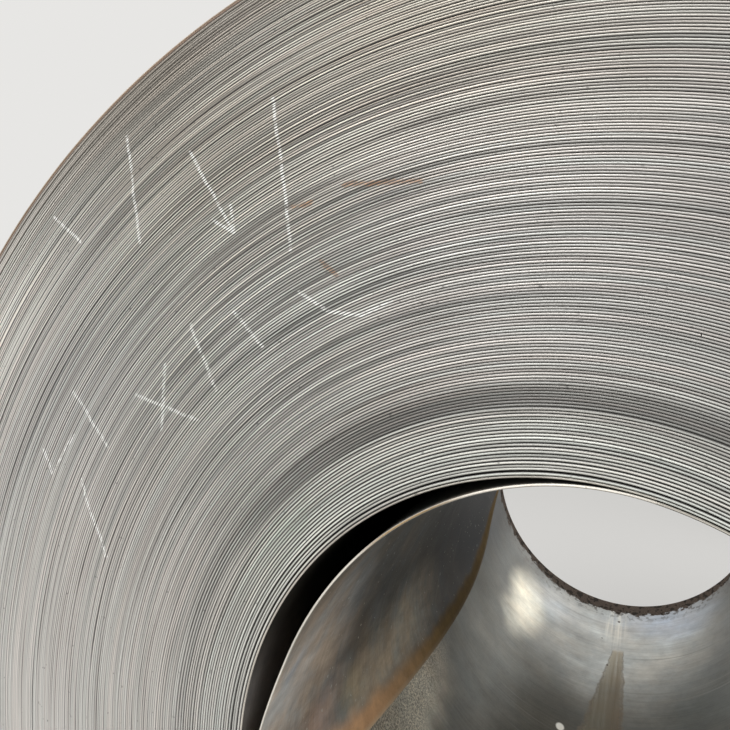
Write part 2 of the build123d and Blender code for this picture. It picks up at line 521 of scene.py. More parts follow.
def stroke_effect(name):
    """How far a place is from a straight stroke."""
    tree, given = new_effect(name, {"Place": "Vector", "Start": "Vector", "End": "Vector"}, {"Distance": "Float"})
    reach = vector_maths(tree, "SUBTRACT", given["End"], given["Start"])
    offset = vector_maths(tree, "SUBTRACT", given["Place"], given["Start"])
    dots = [add_node(tree, "ShaderNodeVectorMath", {0: other, 1: reach}, operation="DOT_PRODUCT").outputs["Value"]
            for other in (offset, reach)]
    share = maths(tree, "DIVIDE", *dots, clamp=True)
    nearest = add_node(tree, "ShaderNodeVectorMath", {0: reach, "Scale": share}, operation="SCALE").outputs["Vector"]
    add_node(tree, "NodeGroupOutput", {"Distance": length(tree, vector_maths(tree, "SUBTRACT", offset, nearest))})
    return tree


def rolled_edge_effect(name):
    """The strip's rolled edge: a light crest, narrower where a shadow is painted, and flanks of grime and painted
    shade.
    """
    tree, given = new_effect(name, {
        "Place": "Vector", "Lap Place": "Vector", "Edge": "Color", "Grime": "Color", "Dirt": "Float"},
        {"Colour": "Color", "Crest": "Float", "Mask": "Float"})
    crest = mark(tree, "crest")
    # Laps darker where a shadow is painted, lighter where the dust paints light
    long_tone = map_range(tree, noise(tree, given["Lap Place"], roughness=0.6), 0.33, 0.67,
                          maths(tree, "MULTIPLY_ADD", given["Dirt"], -0.28, 0.66),
                          maths(tree, "MULTIPLY_ADD", given["Dirt"], 0.34, 1.26))
    pits = map_range(tree, noise(tree, given["Place"], scale=170.0, detail=0.0), 0.10, 0.20, 0.45, 1.0)
    tone = times(tree, long_tone, pits)
    # The crest narrows where a shadow is painted
    least = maths(tree, "MULTIPLY_ADD", given["Dirt"], 0.16, 0.25)
    top = map_range(tree, crest, least, 0.98, smooth=True)
    tint_place = vector_maths(tree, "MULTIPLY", given["Lap Place"], (0.8, 0.8, 0.12))
    tint = map_range(tree, noise(tree, tint_place, detail=1.0), 0.35, 0.65)
    tints = mix(tree, tint, TONES["warm edge"], TONES["cool edge"])
    tinted = mix(tree, 1.0, given["Edge"], tints, "MULTIPLY")
    # The flanks take the colour of grime and painted shade, the crest that of the edge
    colour = mix(tree, top, given["Grime"], toned(tree, tinted, tone))
    add_node(tree, "NodeGroupOutput", {
        "Colour": colour, "Crest": top, "Mask": map_range(tree, crest, 0.0, 0.08)})
    return tree


def rust_effect(name):
    """Patchy rust that grows with its amount."""
    tree, given = new_effect(name, {"Place": "Vector", "Amount": "Float", "Scale": "Float", "Rust": "Color",
                                    "Old Rust": "Color"}, {"Colour": "Color", "Mask": "Float"})
    patchy = noise(tree, given["Place"], given["Scale"], detail=5.0, roughness=0.68)
    mask = map_range(tree, maths(tree, "ADD", patchy, given["Amount"]), 0.92, 1.14, smooth=True)
    mottle = noise(tree, given["Place"], times(tree, given["Scale"], 3.0))
    colour = mix(tree, varied(tree, mottle, 0.0, 1.0), given["Old Rust"], given["Rust"])
    add_node(tree, "NodeGroupOutput", {"Colour": colour, "Mask": mask})
    return tree


def rolling_streaks_effect(name):
    """Fine lines that run the way the strip was rolled, and the scale's cloudy tone."""
    tree, given = new_effect(name, {"Place": "Vector", "Streak Place": "Vector"},
                             {"Tone": "Float", "Line": "Float", "Cloud": "Float"})
    broad = noise(tree, given["Streak Place"], scale=0.16, detail=4.0, roughness=0.6)
    fine = noise(tree, given["Streak Place"], scale=1.4, detail=5.0, roughness=0.7)
    lines = map_range(tree, noise(tree, given["Streak Place"], scale=0.7), 0.66, 0.74)
    cloud = noise(tree, given["Place"], scale=5.0, detail=3.0, roughness=0.55)
    tone = times(tree, varied(tree, broad, 0.90, 1.08), varied(tree, fine, 0.88, 1.12))
    add_node(tree, "NodeGroupOutput", {"Tone": tone, "Line": lines, "Cloud": cloud})
    return tree


EFFECTS = {
    "Coil place": coil_place_effect, "Soft spot": soft_spot_effect, "Stroke": stroke_effect,
    "Rolled edge": rolled_edge_effect, "Rust": rust_effect, "Rolling streaks": rolling_streaks_effect,
}


def use_effect(tree, name, inputs=()):
    """What an effect's node group gives, placed in a tree. The group is made the first time."""
    group = bpy.data.node_groups.get(name) or EFFECTS[name](name)
    return add_node(tree, "ShaderNodeGroup", inputs, node_tree=group).outputs


def soft_spot(tree, place, middle, half_size, fade):
    """A mask that is full in the middle of a spot and fades out towards its border."""
    return use_effect(tree, "Soft spot", {
        "Place": place, "Middle": (*middle, 0), "Half Size": (*half_size, 1), "Fade": fade})["Mask"]


def patched(tree, colour, spots_place, patches, cloud):
    """A colour with patches of other tones laid over it, all uneven with the cloudy tone of the scale."""
    uneven = varied(tree, cloud, 0.6, 1.15)
    for degrees, place, half_degrees, half_place, fade, strength, tone in patches:
        spot = soft_spot(tree, spots_place, (degrees, place), (half_degrees, half_place), fade)
        amount = maths(tree, "MULTIPLY", spot, times(tree, uneven, strength), clamp=True)
        colour = mix(tree, amount, colour, (*tone, 1))
    return colour


def strokes(tree, place, ends, width, edge):
    """A mask of strokes from place to place."""
    nearest = None
    for start, end in ends:
        start, end = (start[0], 0, start[1]), (end[0], 0, end[1])
        distance = use_effect(tree, "Stroke", {"Place": place, "Start": start, "End": end})["Distance"]
        nearest = distance if nearest is None else maths(tree, "MINIMUM", nearest, distance)
    return map_range(tree, nearest, width - edge, width, 1.0, 0.0)


def new_material(name):
    """A material with its node tree, its shader and what every material here starts from."""
    material = bpy.data.materials.new(name)
    material.use_nodes = True
    tree = material.node_tree
    return material, tree, tree.nodes["Principled BSDF"], use_effect(tree, "Coil place")


def finish_material(tree, shader, colour, roughness, metallic, height, distance):
    """Links what changes over the surface to the shader."""
    tree.links.new(colour, shader.inputs["Base Color"])
    tree.links.new(roughness, shader.inputs["Roughness"])
    tree.links.new(metallic, shader.inputs["Metallic"])
    bump = add_node(tree, "ShaderNodeBump", {"Strength": 1.0, "Distance": distance, "Height": height})
    tree.links.new(bump.outputs[0], shader.inputs["Normal"])


def edge_tone(tree, picks, coil, spots_place, cloud):
    """The tone of the strip's edges on the two ends, with a painted shadow at the top and painted light to the left,
    before what lies on them.
    """
    inner = map_range(tree, coil["Radius"], *RADII["inner edges"], 1.0, 0.0)
    edge = mix(tree, inner, picks["edge"], picks["inner_edge"])
    # Patches of painted shadow at the top and painted light to the left
    edge = patched(tree, edge, spots_place, END_TONES_AND_LIGHT, cloud)
    edge = mix(tree, map_range(tree, cloud, 0.35, 0.75, 0.0, 0.35), edge, TONES["brown cloud"])
    return mix(tree, map_range(tree, coil["Radius"], *RADII["old rust"]), edge, picks["old_rust"])


def gap_tone(tree, picks, coil, spots_place, near):
    """The tone of the gaps between the edges: grime and painted shade, with dust that also paints light in one part of
    the near end, and where a painted shadow narrows the edges.
    """
    # Dust in the gaps on the left of the near end, which also paints light there
    dusty_and_lit = times(tree, soft_spot(tree, spots_place, *SPOTS["dust_and_light"]),
                  map_range(tree, coil["Radius"], *RADII["dust_and_light"], 0.45, 1.0), near)
    other_laps = vector_maths(tree, "ADD", coil["Lap Place"], (5.0, 9.0, 2.0))
    filled = map_range(tree, noise(tree, other_laps, detail=1.0), 0.54, 0.62, 1.0, 0.30)
    grime = mix(tree, times(tree, dusty_and_lit, filled), picks["grime"], TONES["dust_and_light"])
    grime = mix(tree, map_range(tree, coil["Radius"], *RADII["rim"], 0.0, 0.7), grime, TONES["rim grime"])
    # A painted shadow of a neighbouring coil at the top of the near end, less where the dust paints light
    dirt = maths(tree, "MULTIPLY_ADD", dusty_and_lit, -0.5, soft_spot(tree, spots_place, *SPOTS["dirt"]))
    return grime, dirt


def laps_material():
    """The strip's edges on the two ends, with grime and painted shade between them, chalk strokes and a little rust.
    """
    picks = colours()
    material, tree, shader, coil = new_material("Edges of the laps")
    near = maths(tree, "LESS_THAN", coil["Along"], STRIP_WIDTH / 2)
    cloud = noise(tree, coil["Place"], scale=3.0, detail=3.0)
    spots_place = vector(tree, maths(tree, "ADD", coil["Degrees"], either_way(tree, cloud, 14.0)), coil["Radius"])
    edge = edge_tone(tree, picks, coil, spots_place, cloud)
    grime, dirt = gap_tone(tree, picks, coil, spots_place, near)
    rolled = use_effect(tree, "Rolled edge", {
        "Place": coil["Place"], "Lap Place": coil["Lap Place"], "Edge": edge, "Grime": grime, "Dirt": dirt})
    colour = rolled["Colour"]

    # Painted shade in the band of laps that is set back, strongest at the top of the coil
    band = times(tree, map_range(tree, coil["Radius"], *RADII["band from"]),
                 map_range(tree, coil["Radius"], *RADII["band to"], 1.0, 0.0))
    band_shade = map_range(tree, away_from(tree, coil["Degrees"], BAND_SHADE_MIDDLE), *BAND_SHADE_SIDES, 0.66, 0.0)
    colour = mix(tree, times(tree, band, band_shade), colour, picks["grime"])

    # Rust where it stays wet, then the smears and the chalk on the near end
    flat = vector_maths(tree, "MULTIPLY", coil["Place"], (1, 0, 1))
    smear = times(tree, strokes(tree, flat, RUST_SMEARS, SMEAR_WIDTH, SMEAR_WIDTH), near)
    rust = use_effect(tree, "Rust", {
        "Place": coil["Place"], "Amount": maths(tree, "MULTIPLY_ADD", smear, 0.51, 0.19), "Scale": 60.0,
        "Rust": picks["rust"], "Old Rust": picks["old_rust"]})
    rusty = times(tree, rolled["Crest"], 0.62, rust["Mask"])
    colour = mix(tree, rusty, colour, rust["Colour"])
    broken = map_range(tree, noise(tree, coil["Place"], scale=130.0, detail=3.0, roughness=0.7), 0.34, 0.50)
    chalky = times(tree, strokes(tree, flat, CHALK_STROKES, CHALK_WIDTH, CHALK_FADE), near, broken, rolled["Crest"])
    colour = mix(tree, times(tree, chalky, 0.92), colour, picks["chalk"])

    dull = maths(tree, "MAXIMUM", rusty, chalky)
    roughness = blend(tree, dull, varied(tree, cloud, 0.40, 0.52), 0.9)
    metallic = times(tree, blend(tree, dull, 0.25, 0.0), rolled["Crest"])
    height = noise(tree, coil["Place"], scale=900.0, detail=1.0)
    finish_material(tree, shader, colour, roughness, metallic, height, 0.00004)
    return material


def wall_tone(tree, picks, coil, streaks, spots_place, across):
    """Mill scale on the wall of the eye, with patches of painted highlights, reflections and shade, and its rolling
    lines.
    """
    # Painted highlights, reflections and shade laid over the scale
    wall = patched(tree, picks["eye_scale"], spots_place, EYE_PAINTED_LIGHT, streaks["Cloud"])
    wall = toned(tree, wall, streaks["Tone"])
    mottle = noise(tree, coil["Place"], scale=22.0, detail=5.0, roughness=0.75)
    wall = toned(tree, wall, varied(tree, mottle, 0.82, 1.18))
    wall = mix(tree, times(tree, streaks["Line"], 0.30), wall, TONES["rolling line"])
    right = map_range(tree, coil["Degrees"], *WALL_LINES_FROM)
    for along in WALL_LINES:
        line = map_range(tree, away_from(tree, across, along), 0.001, 0.0035, 0.5, 0.0)
        wall = mix(tree, times(tree, line, right), wall, TONES["wall line"])
    return wall


def stained_wall(tree, wall, coil, across, ragged):
    """The wall with the stain that runs down it from a point and a painted highlight streak above, and a mask of the
    stain.
    """
    down = maths(tree, "SUBTRACT", STAIN_TOP, across)
    middle = maths(tree, "MULTIPLY_ADD", down, STAIN_LEAN, STAIN_DEGREES)
    sideways = maths(tree, "SUBTRACT", coil["Degrees"], middle)
    half = maths(tree, "MULTIPLY_ADD", down, STAIN_SPREAD, STAIN_HALF)
    share = maths(tree, "ADD", maths(tree, "DIVIDE", maths(tree, "ABSOLUTE", sideways), half),
                  either_way(tree, ragged, 0.7))
    reach = times(tree, map_range(tree, down, -0.012, 0.004), map_range(tree, down, 0.45, 0.85, 1.0, 0.0))
    run = noise(tree, vector(tree, times(tree, coil["Degrees"], 0.75), times(tree, across, 2.5)), detail=3.0)
    stained = times(tree, map_range(tree, share, 0.68, 1.08, 0.85, 0.0, smooth=True), reach,
                    map_range(tree, run, 0.30, 0.62, 0.55, 1.0))
    tone = mix(tree, map_range(tree, down, 0.0, 0.20), TONES["stain top"], TONES["stain below"])
    tone = mix(tree, map_range(tree, sideways, -1.0, 5.0, 0.0, 0.45), tone, TONES["stain side"])
    wall = mix(tree, stained, wall, tone)
    outline = times(tree, map_range(tree, away_from(tree, share, 0.90), 0.01, 0.14, 0.5, 0.0), reach)
    wall = mix(tree, outline, wall, TONES["stain outline"])
    # A pale streak down from the far edge above the stain, a painted highlight
    streak_highlight = times(tree, map_range(tree, run, 0.40, 0.66),
                 soft_spot(tree, vector(tree, coil["Degrees"], across), *SPOTS["highlight streak"]))
    return mix(tree, times(tree, streak_highlight, 0.7), wall, TONES["highlight streak"]), stained


def spotted_wall(tree, wall, coil, spots_place, across, grains):
    """The wall with its grainy patch and its small spots, and a mask of the patch."""
    grainy = soft_spot(tree, spots_place, *SPOTS["grainy patch"])
    wall = toned(tree, wall, blend(tree, grainy, 1.0, map_range(tree, grains, 0.40, 0.60, 0.55, 1.35)))
    flat = vector(tree, times(tree, coil["Degrees"], WALL_DEGREE), across)
    for degrees, along, half_size, tone in WALL_SPOTS:
        spot = soft_spot(tree, flat, (degrees * WALL_DEGREE, along), (half_size, half_size * SPOT_STRETCH), 0.4)
        wall = mix(tree, spot, wall, (*tone, 1))
    return wall, grainy


def loose_tone(tree, picks, coil, streaks, spots_place, across):
    """Mill scale on the loose end, with its own patches of tone and patches of painted light and shade, mottled,
    scratched and specked.
    """
    # Its own tones, with painted light and sheen on the pale patches and painted shade deep in the eye
    colour = patched(tree, picks["loose_scale"], spots_place, LOOSE_TONES_AND_LIGHT, streaks["Cloud"])
    colour = toned(tree, colour, streaks["Tone"])
    mottle_place = vector_maths(tree, "MULTIPLY", coil["Place"], (1, 0.5, 1))
    mottle = noise(tree, mottle_place, scale=26.0, detail=5.0, roughness=0.7)
    colour = toned(tree, colour, varied(tree, mottle, 0.70, 1.30))
    slanting = maths(tree, "MULTIPLY_ADD", coil["Degrees"], 1.1, times(tree, across, 140.0))
    scratches = noise(tree, vector(tree, slanting, times(tree, across, 3.0)), detail=1.0)
    colour = mix(tree, map_range(tree, scratches, 0.70, 0.78, 0.0, 0.5), colour, TONES["scratches"])
    specks = noise(tree, coil["Place"], scale=150.0, detail=0.0)
    return mix(tree, map_range(tree, specks, 0.80, 0.83, 0.0, 0.7), colour, TONES["specks"])


def rusty_cut(tree, coil, across, ragged):
    """Rust along the cut of the loose end: a mask of it, and its tone."""
    from_end = mark(tree, "from_end")
    width = map_range(tree, across, *CUT_RUST_PLACES, *CUT_RUST_WIDTHS)
    uneven = varied(tree, noise(tree, coil["Place"], scale=14.0), 0.85, 1.15)
    share = maths(tree, "DIVIDE", from_end, times(tree, width, uneven))
    tone = mix(tree, map_range(tree, across, 0.35, 0.75), TONES["near cut"], TONES["far cut"])
    tone = mix(tree, map_range(tree, across, 0.10, 0.30, 0.5, 0.0), tone, TONES["nearest cut"])
    tone = toned(tree, tone, varied(tree, ragged, 0.72, 1.12))
    tone = mix(tree, map_range(tree, from_end, 0.0, 0.009, 0.8, 0.0), tone, TONES["cut lip"])
    return map_range(tree, share, 0.45, 1.15, 0.88, 0.0, smooth=True), tone


def flaked_edge(tree, picks, colour, coil, across, ragged, grains, on_wall):
    """A colour with brown flakes and dark chips along the wall's far edge, and a mask of the flakes."""
    to_far = maths(tree, "SUBTRACT", STRIP_WIDTH, across)
    wider = map_range(tree, away_from(tree, coil["Degrees"], FLAKES_MIDDLE), *FLAKES_SIDES, *FLAKES_WIDER)
    flaked = maths(tree, "SUBTRACT", maths(tree, "ADD", to_far, either_way(tree, ragged, 0.085)), wider)
    flakes = times(tree, map_range(tree, flaked, *FLAKES_END, 1.0, 0.0), on_wall)
    colour = mix(tree, flakes, colour, toned(tree, picks["flakes"], varied(tree, grains, 0.6, 1.3)))
    chip_place = vector_maths(tree, "MULTIPLY", coil["Place"], (1, 0.6, 1))
    chips = times(tree, map_range(tree, noise(tree, chip_place, scale=75.0, detail=3.0), 0.54, 0.58),
                  map_range(tree, to_far, 0.060, 0.120, 1.0, 0.0), on_wall)
    return mix(tree, times(tree, chips, 0.85), colour, TONES["chips"]), flakes


def eye_material():
    """The wall of the eye and the loose end: mill scale with worn, stained, flaked and rusty places, and painted
    highlights, reflections and shade.
    """
    picks = colours()
    material, tree, shader, coil = new_material("Mill scale in the eye")
    streaks = use_effect(tree, "Rolling streaks", {"Place": coil["Place"], "Streak Place": coil["Streak Place"]})
    across = mark(tree, "across")
    loose = maths(tree, "LESS_THAN", mark(tree, "turn"), 0.0)
    on_wall = maths(tree, "SUBTRACT", 1.0, loose)
    ragged = noise(tree, coil["Place"], scale=34.0, detail=4.0, roughness=0.7)
    grains = noise(tree, coil["Place"], scale=320.0, roughness=0.6)
    drift = maths(tree, "SUBTRACT", streaks["Cloud"], 0.5)
    spots_place = vector(tree, maths(tree, "MULTIPLY_ADD", drift, 16.0, coil["Degrees"]),
                         maths(tree, "MULTIPLY_ADD", drift, 0.12, coil["Along"]))

    # The scale and what is on it
    wall = wall_tone(tree, picks, coil, streaks, spots_place, across)
    wall, stained = stained_wall(tree, wall, coil, across, ragged)
    wall, grainy = spotted_wall(tree, wall, coil, spots_place, across, grains)
    colour = mix(tree, loose, wall, loose_tone(tree, picks, coil, streaks, spots_place, across))
    tint = map_range(tree, noise(tree, coil["Place"], scale=9.0, detail=4.0, roughness=0.65), 0.38, 0.62)
    tints = mix(tree, tint, TONES["warm tint"], TONES["cool tint"])
    colour = mix(tree, blend(tree, loose, 0.28, 0.9), colour, tints, "MULTIPLY")
    cut, cut_tone = rusty_cut(tree, coil, across, ragged)
    cut = times(tree, cut, loose)
    colour = mix(tree, cut, colour, cut_tone)
    colour, flakes = flaked_edge(tree, picks, colour, coil, across, ragged, grains, on_wall)

    # The rolled edges, brown where the loose end has leaned out
    browned = soft_spot(tree, vector(tree, coil["Degrees"], across), *SPOTS["brown lip"])
    lip_edge = mix(tree, times(tree, browned, loose), TONES["lip"], TONES["brown lip"])
    rolled = use_effect(tree, "Rolled edge", {
        "Place": coil["Place"], "Lap Place": coil["Lap Place"], "Edge": lip_edge, "Grime": TONES["lip grime"]})
    colour = mix(tree, rolled["Mask"], colour, rolled["Colour"])

    dull = maths(tree, "MAXIMUM", maths(tree, "MAXIMUM", cut, flakes), times(tree, stained, 0.5))
    wall_gloss = blend(tree, grainy, varied(tree, streaks["Cloud"], 0.29, 0.38), 0.48)
    roughness = blend(tree, dull, blend(tree, loose, wall_gloss, 0.50), 0.85)
    metallic = blend(tree, dull, blend(tree, loose, 0.90, 0.40), 0.05)
    height = maths(tree, "ADD", times(tree, streaks["Tone"], 0.6),
                   times(tree, grains, maths(tree, "MULTIPLY_ADD", grainy, 0.6, 0.15)))
    shader.inputs["Specular IOR Level"].default_value = 0.12
    finish_material(tree, shader, colour, roughness, metallic, height, 0.0006)
    return material


def outside_material():
    """The outside of the coil: mill scale with rolling lines, scuffs and a little rust."""
    picks = colours()
    material, tree, shader, coil = new_material("Mill scale on the outside")
    streaks = use_effect(tree, "Rolling streaks", {"Place": coil["Place"], "Streak Place": coil["Streak Place"]})
    colour = toned(tree, picks["outside_scale"], streaks["Tone"])
    cloud = map_range(tree, noise(tree, coil["Place"], scale=2.2, detail=4.0, roughness=0.6), 0.40, 0.66)
    colour = mix(tree, times(tree, cloud, 0.7), colour, TONES["outside cloud"])
    pale = map_range(tree, streaks["Cloud"], 0.50, 0.72)
    colour = mix(tree, times(tree, pale, 0.5), colour, TONES["outside pale"])
    colour = mix(tree, times(tree, streaks["Line"], 0.5), colour, TONES["outside line"])
    scuff_place = vector_maths(tree, "MULTIPLY", coil["Streak Place"], (3.0, 0.5, 3.0))
    scuffs = map_range(tree, noise(tree, scuff_place, scale=1.6, detail=3.0, roughness=0.7), 0.66, 0.74)
    colour = mix(tree, times(tree, scuffs, 0.6), colour, TONES["scuffs"])

    # Rust, most of it along the two ends, and the rolled edges
    border = maths(tree, "MINIMUM", coil["Along"], maths(tree, "SUBTRACT", STRIP_WIDTH, coil["Along"]))
    rust = use_effect(tree, "Rust", {
        "Place": coil["Place"], "Amount": map_range(tree, border, 0.0, 0.11, 0.58, 0.30), "Scale": 16.0,
        "Rust": picks["rust"], "Old Rust": picks["old_rust"]})
    rusty = times(tree, rust["Mask"], 0.8)
    colour = mix(tree, rusty, colour, rust["Colour"])
    rolled = use_effect(tree, "Rolled edge", {
        "Place": coil["Place"], "Lap Place": coil["Lap Place"], "Edge": TONES["outside edge"],
        "Grime": picks["old_rust"]})
    colour = mix(tree, rolled["Mask"], colour, rolled["Colour"])

    smooth = blend(tree, scuffs, varied(tree, streaks["Cloud"], 0.46, 0.60), 0.40)
    roughness = blend(tree, rusty, smooth, 0.88)
    metallic = blend(tree, rusty, 0.60, 0.0)
    height = maths(tree, "ADD", streaks["Tone"], times(tree, rust["Mask"], 0.4))
    finish_material(tree, shader, colour, roughness, metallic, height, 0.0008)
    return material


def wound_strip_tree():
    """Geometry nodes that wind a length of the strip, from its first turn outwards."""
    tree = bpy.data.node_groups.new("Wound strip", "GeometryNodeTree")
    for name, kind in {
        "First Turn": "Float", "Turns": "Float", "Steps per Turn": "Int", "Eye Radius": "Float",
        "Lap Pitch": "Float", "Looseness": "Float", "Loose Turns": "Float", "Root Angle": "Float",
        "Axis Height": "Float", "Near End": "Float", "Strip Width": "Float", "Strip Thickness": "Float",
        "Edge Round": "Float", "Wander": "Float", "Edge Play": "Float", "Gap Play": "Float", "Set Back": "Float",
        "Set Back Turn": "Float", "Set Back Full": "Float", "Set Back Fade": "Float", "Most Shift": "Float",
        "Seed": "Int", "Material": "Material",
    }.items():
        tree.interface.new_socket(name, in_out="INPUT", socket_type="NodeSocket" + kind)
    tree.interface.new_socket("Geometry", in_out="OUTPUT", socket_type="NodeSocketGeometry")
    given = tree.nodes.new("NodeGroupInput").outputs

    # Where along the winding each point lies
    index = tree.nodes.new("GeometryNodeInputIndex").outputs[0]
    turn = maths(tree, "ADD", given["First Turn"], maths(tree, "DIVIDE", index, given["Steps per Turn"]))
    angle = maths(tree, "SUBTRACT", given["Root Angle"], times(tree, turn, math.tau))
    cosine = maths(tree, "COSINE", angle)
    sine = maths(tree, "SINE", angle)
    outwards = vector(tree, cosine, 0.0, sine)

    # The radius of the strip's middle, with air that fades out, gaps that open and close, and stray laps
    fade = maths(tree, "EXPONENT", maths(tree, "DIVIDE", turn, times(tree, given["Loose Turns"], -1.0)))
    loosening = times(tree, given["Looseness"], maths(tree, "SUBTRACT", 1.0, fade))
    wound = maths(tree, "ADD", maths(tree, "MULTIPLY_ADD", given["Lap Pitch"], turn, given["Eye Radius"]), loosening)
    middle = maths(tree, "MULTIPLY_ADD", given["Strip Thickness"], 0.5, wound)
    slack = times(tree, maths(tree, "DIVIDE", given["Looseness"], given["Loose Turns"]), fade)
    air = maths(tree, "ADD", maths(tree, "SUBTRACT", given["Lap Pitch"], given["Strip Thickness"]), slack)
    seeded = maths(tree, "MULTIPLY_ADD", given["Seed"], SEED_STEP, times(tree, turn, TURN_STEP))
    gap_noise = noise(tree, ring_place(tree, cosine, sine, LAP_NOISE_SIZE, seeded), detail=1.0)
    opening = either_way(tree, gap_noise, times(tree, air, given["Gap Play"]))
    radius = maths(tree, "ADD", middle, opening)
    for stray_turn, half, out in STRAY_LAPS:
        strayed = map_range(tree, away_from(tree, turn, stray_turn), half * STRAY_FULL, half, out, 0.0, smooth=True)
        radius = maths(tree, "ADD", radius, strayed)

    # How far the strip lies back from the near end
    wave = 0.0
    for share, turns, phase in WANDER_WAVES:
        swing = maths(tree, "SINE", maths(tree, "MULTIPLY_ADD", turn, math.tau / turns, phase))
        wave = maths(tree, "MULTIPLY_ADD", swing, share, wave)
    wave = maths(tree, "MULTIPLY_ADD", wave, WANDER_SWING, WANDER_MIDDLE, clamp=True)
    wandered = times(tree, wave, given["Wander"])
    edge_place = ring_place(tree, cosine, sine, EDGE_NOISE_SIZE, maths(tree, "ADD", seeded, EDGE_NOISE_START))
    edge_chance = maths(tree, "SUBTRACT", noise(tree, edge_place, detail=3.0, roughness=0.7), 0.5)
    played = maths(tree, "MULTIPLY_ADD", edge_chance, given["Edge Play"], wandered)
    into_band = maths(tree, "SUBTRACT", turn, given["Set Back Turn"])
    drop = map_range(tree, into_band, -SET_BACK_DROP, SET_BACK_DROP, smooth=True)
    level = maths(tree, "ADD", given["Set Back Full"], given["Set Back Fade"])
    rise = map_range(tree, into_band, given["Set Back Full"], level, 1.0, 0.0, smooth=True)
    back = times(tree, drop, rise, given["Set Back"])
    shift = maths(tree, "MINIMUM", maths(tree, "MAXIMUM", maths(tree, "MAXIMUM", played, back), 0.0),
                  given["Most Shift"])
    centre = maths(tree, "ADD", maths(tree, "MULTIPLY_ADD", given["Strip Width"], 0.5, given["Near End"]), shift)

    # The winding
    points = maths(tree, "ADD", maths(tree, "ROUND", times(tree, given["Turns"], given["Steps per Turn"])), 1.0)
    line = add_node(tree, "GeometryNodeMeshLine", {"Count": points})
    curve = add_node(tree, "GeometryNodeMeshToCurve", {"Mesh": line.outputs[0]})
    marked = add_node(tree, "GeometryNodeStoreNamedAttribute",
                      {"Geometry": curve.outputs[0], "Name": "turn", "Value": turn})
    height = maths(tree, "MULTIPLY_ADD", sine, radius, given["Axis Height"])
    position = vector(tree, times(tree, cosine, radius), centre, height)
    placed = add_node(tree, "GeometryNodeSetPosition", {"Geometry": marked.outputs[0], "Position": position})
    faced = add_node(tree, "GeometryNodeSetCurveNormal", {"Curve": placed.outputs[0], "Normal": outwards}, mode="FREE")

    # The strip's section, with its rounded edges marked
    section = add_node(tree, "GeometryNodeCurvePrimitiveQuadrilateral",
                       {"Width": given["Strip Thickness"], "Height": given["Strip Width"]}, mode="RECTANGLE")
    rounded = add_node(tree, "GeometryNodeFilletCurve", {
        "Curve": section.outputs[0], "Count": 1, "Radius": given["Edge Round"], "Limit Radius": True}, mode="POLY")
    at = add_node(tree, "ShaderNodeSeparateXYZ", {0: tree.nodes.new("GeometryNodeInputPosition").outputs[0]}).outputs
    half = times(tree, given["Strip Width"], 0.5)
    reach = maths(tree, "DIVIDE", maths(tree, "SUBTRACT", half, maths(tree, "ABSOLUTE", at[1])), given["Edge Round"])
    crest = maths(tree, "SUBTRACT", 1.0, reach, clamp=True)
    crested = add_node(tree, "GeometryNodeStoreNamedAttribute",
                       {"Geometry": rounded.outputs[0], "Name": "crest", "Value": crest})

    # The strip, smooth over its rounded edges and sharp where these meet its faces
    swept = add_node(tree, "GeometryNodeCurveToMesh", {
        "Curve": faced.outputs[0], "Profile Curve": crested.outputs[0], "Fill Caps": True})
    on_edge = add_node(tree, "GeometryNodeInputNamedAttribute", {"Name": "crest"}, data_type="FLOAT").outputs[0]
    least = maths(tree, "MULTIPLY_ADD", on_edge, ROUNDED_FOLD, SHARP_FOLD)
    folded = maths(tree, "GREATER_THAN", tree.nodes.new("GeometryNodeInputMeshEdgeAngle").outputs[0], least)
    smooth = add_node(tree, "GeometryNodeSetShadeSmooth", {"Geometry": swept.outputs[0], "Shade Smooth": True})
    sharp = add_node(tree, "GeometryNodeSetShadeSmooth", {
        "Geometry": smooth.outputs[0], "Selection": folded, "Shade Smooth": False}, domain="EDGE")
    whole = add_node(tree, "GeometryNodeRealizeInstances", {"Geometry": sharp.outputs[0]})
    finished = add_node(tree, "GeometryNodeSetMaterial", {
        "Geometry": whole.outputs[0], "Material": given["Material"]})
    add_node(tree, "NodeGroupOutput", {0: finished.outputs[0]})
    return tree


def made_by_nodes(name, tree, values):
    """A plain mesh object with what a geometry node tree makes of the given values."""
    maker = bpy.data.objects.new(name, bpy.data.meshes.new(name))
    bpy.context.collection.objects.link(maker)
    modifier = maker.modifiers.new("Winding", "NODES")
    modifier.node_group = tree
    for item in tree.interface.items_tree:
        if item.in_out == "INPUT":
            modifier[item.identifier] = values[item.name]
    evaluated = maker.evaluated_get(bpy.context.evaluated_depsgraph_get())
    mesh = bpy.data.meshes.new_from_object(evaluated)
    maker.modifiers.remove(modifier)
    maker.data = mesh
    mesh.name = name
    return maker


def wind(name, first, turns, material):
    """A piece of the coil that is wound from its first turn on."""
    s = sizes()
    tree = bpy.data.node_groups.get("Wound strip") or wound_strip_tree()
    return made_by_nodes(name, tree, {
        "First Turn": float(first), "Turns": float(turns), "Steps per Turn": s.steps_per_turn,
        "Eye Radius": EYE_RADIUS, "Lap Pitch": lap_pitch(), "Looseness": s.looseness,
        "Loose Turns": s.loose_turns, "Root Angle": s.root_angle, "Axis Height": AXIS_HEIGHT,
        "Near End": NEAR_END, "Strip Width": STRIP_WIDTH, "Strip Thickness": s.strip_thickness,
        "Edge Round": s.edge_round, "Wander": s.wander, "Edge Play": s.edge_play, "Gap Play": s.gap_play,
        "Set Back": s.set_back, "Set Back Turn": s.set_back_turn, "Set Back Full": s.set_back_full,
        "Set Back Fade": s.set_back_fade, "Most Shift": FAR_END - NEAR_END - STRIP_WIDTH, "Seed": SEED,
        "Material": material,
    })


